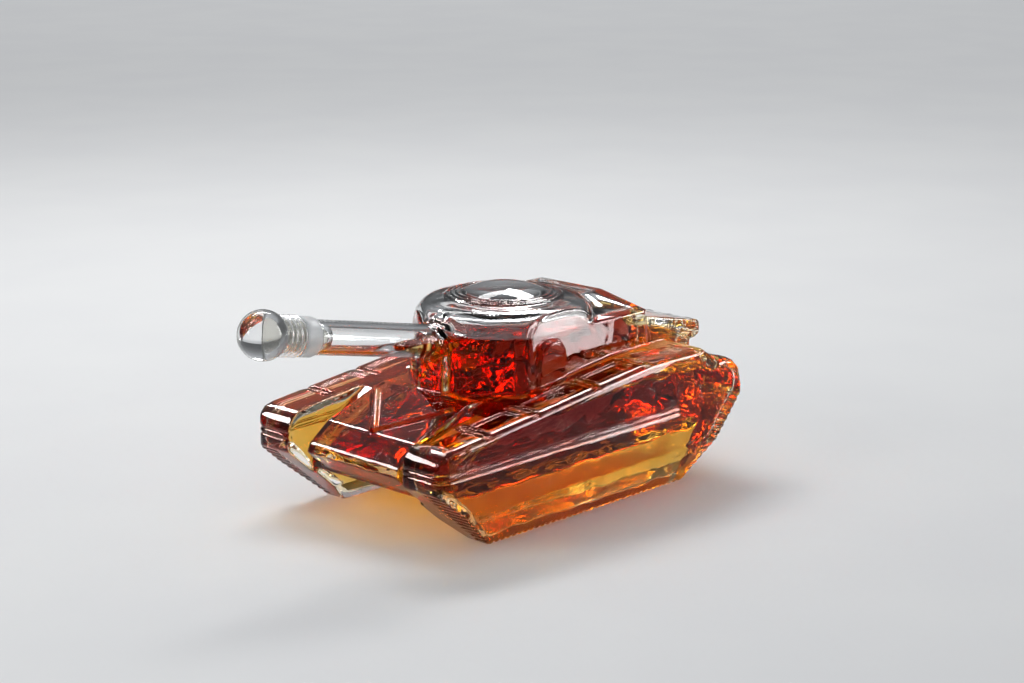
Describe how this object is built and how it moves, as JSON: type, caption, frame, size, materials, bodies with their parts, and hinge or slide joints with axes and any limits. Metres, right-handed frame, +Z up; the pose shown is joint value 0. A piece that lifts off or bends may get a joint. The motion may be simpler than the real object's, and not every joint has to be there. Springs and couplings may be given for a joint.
{
  "type": "figural decanter",
  "caption": "Glass liquor decanter moulded as a tracked armoured vehicle: its gun barrel is the neck, closed by a ball stopper with a plastic sleeve, and its body holds amber liquor.",
  "frame": {"origin": "on the surface the tracks stand on, under the middle of the whole object's box", "axes": "+Z up; the barrel points to -X and the tail to +X; the vehicle is the same on both sides of Y = 0"},
  "size_m": [0.24, 0.112, 0.102],
  "materials": {
    "body_glass": "clear moulded glass, fire-polished, slightly wavy",
    "barrel_glass": "clear drawn tube with a ground, frosted lip",
    "stopper_glass": "clear polished glass",
    "sleeve_plastic": "translucent cream plastic with fine rings",
    "liquor": "clear amber to red-brown liquid"
  },
  "bodies": {
    "bottle": {"bottle_body": "body_glass", "barrel_neck": "barrel_glass", "liquor": "liquor"},
    "stopper": {"glass_stopper": "stopper_glass", "stopper_sleeve": "sleeve_plastic"}
  },
  "joints": [
    {"name": "stopper_pull", "type": "slide", "parent": "bottle", "child": "stopper", "axis": [-0.9801, 0, 0.1983], "range_m": [0, 0.025]}
  ]
}
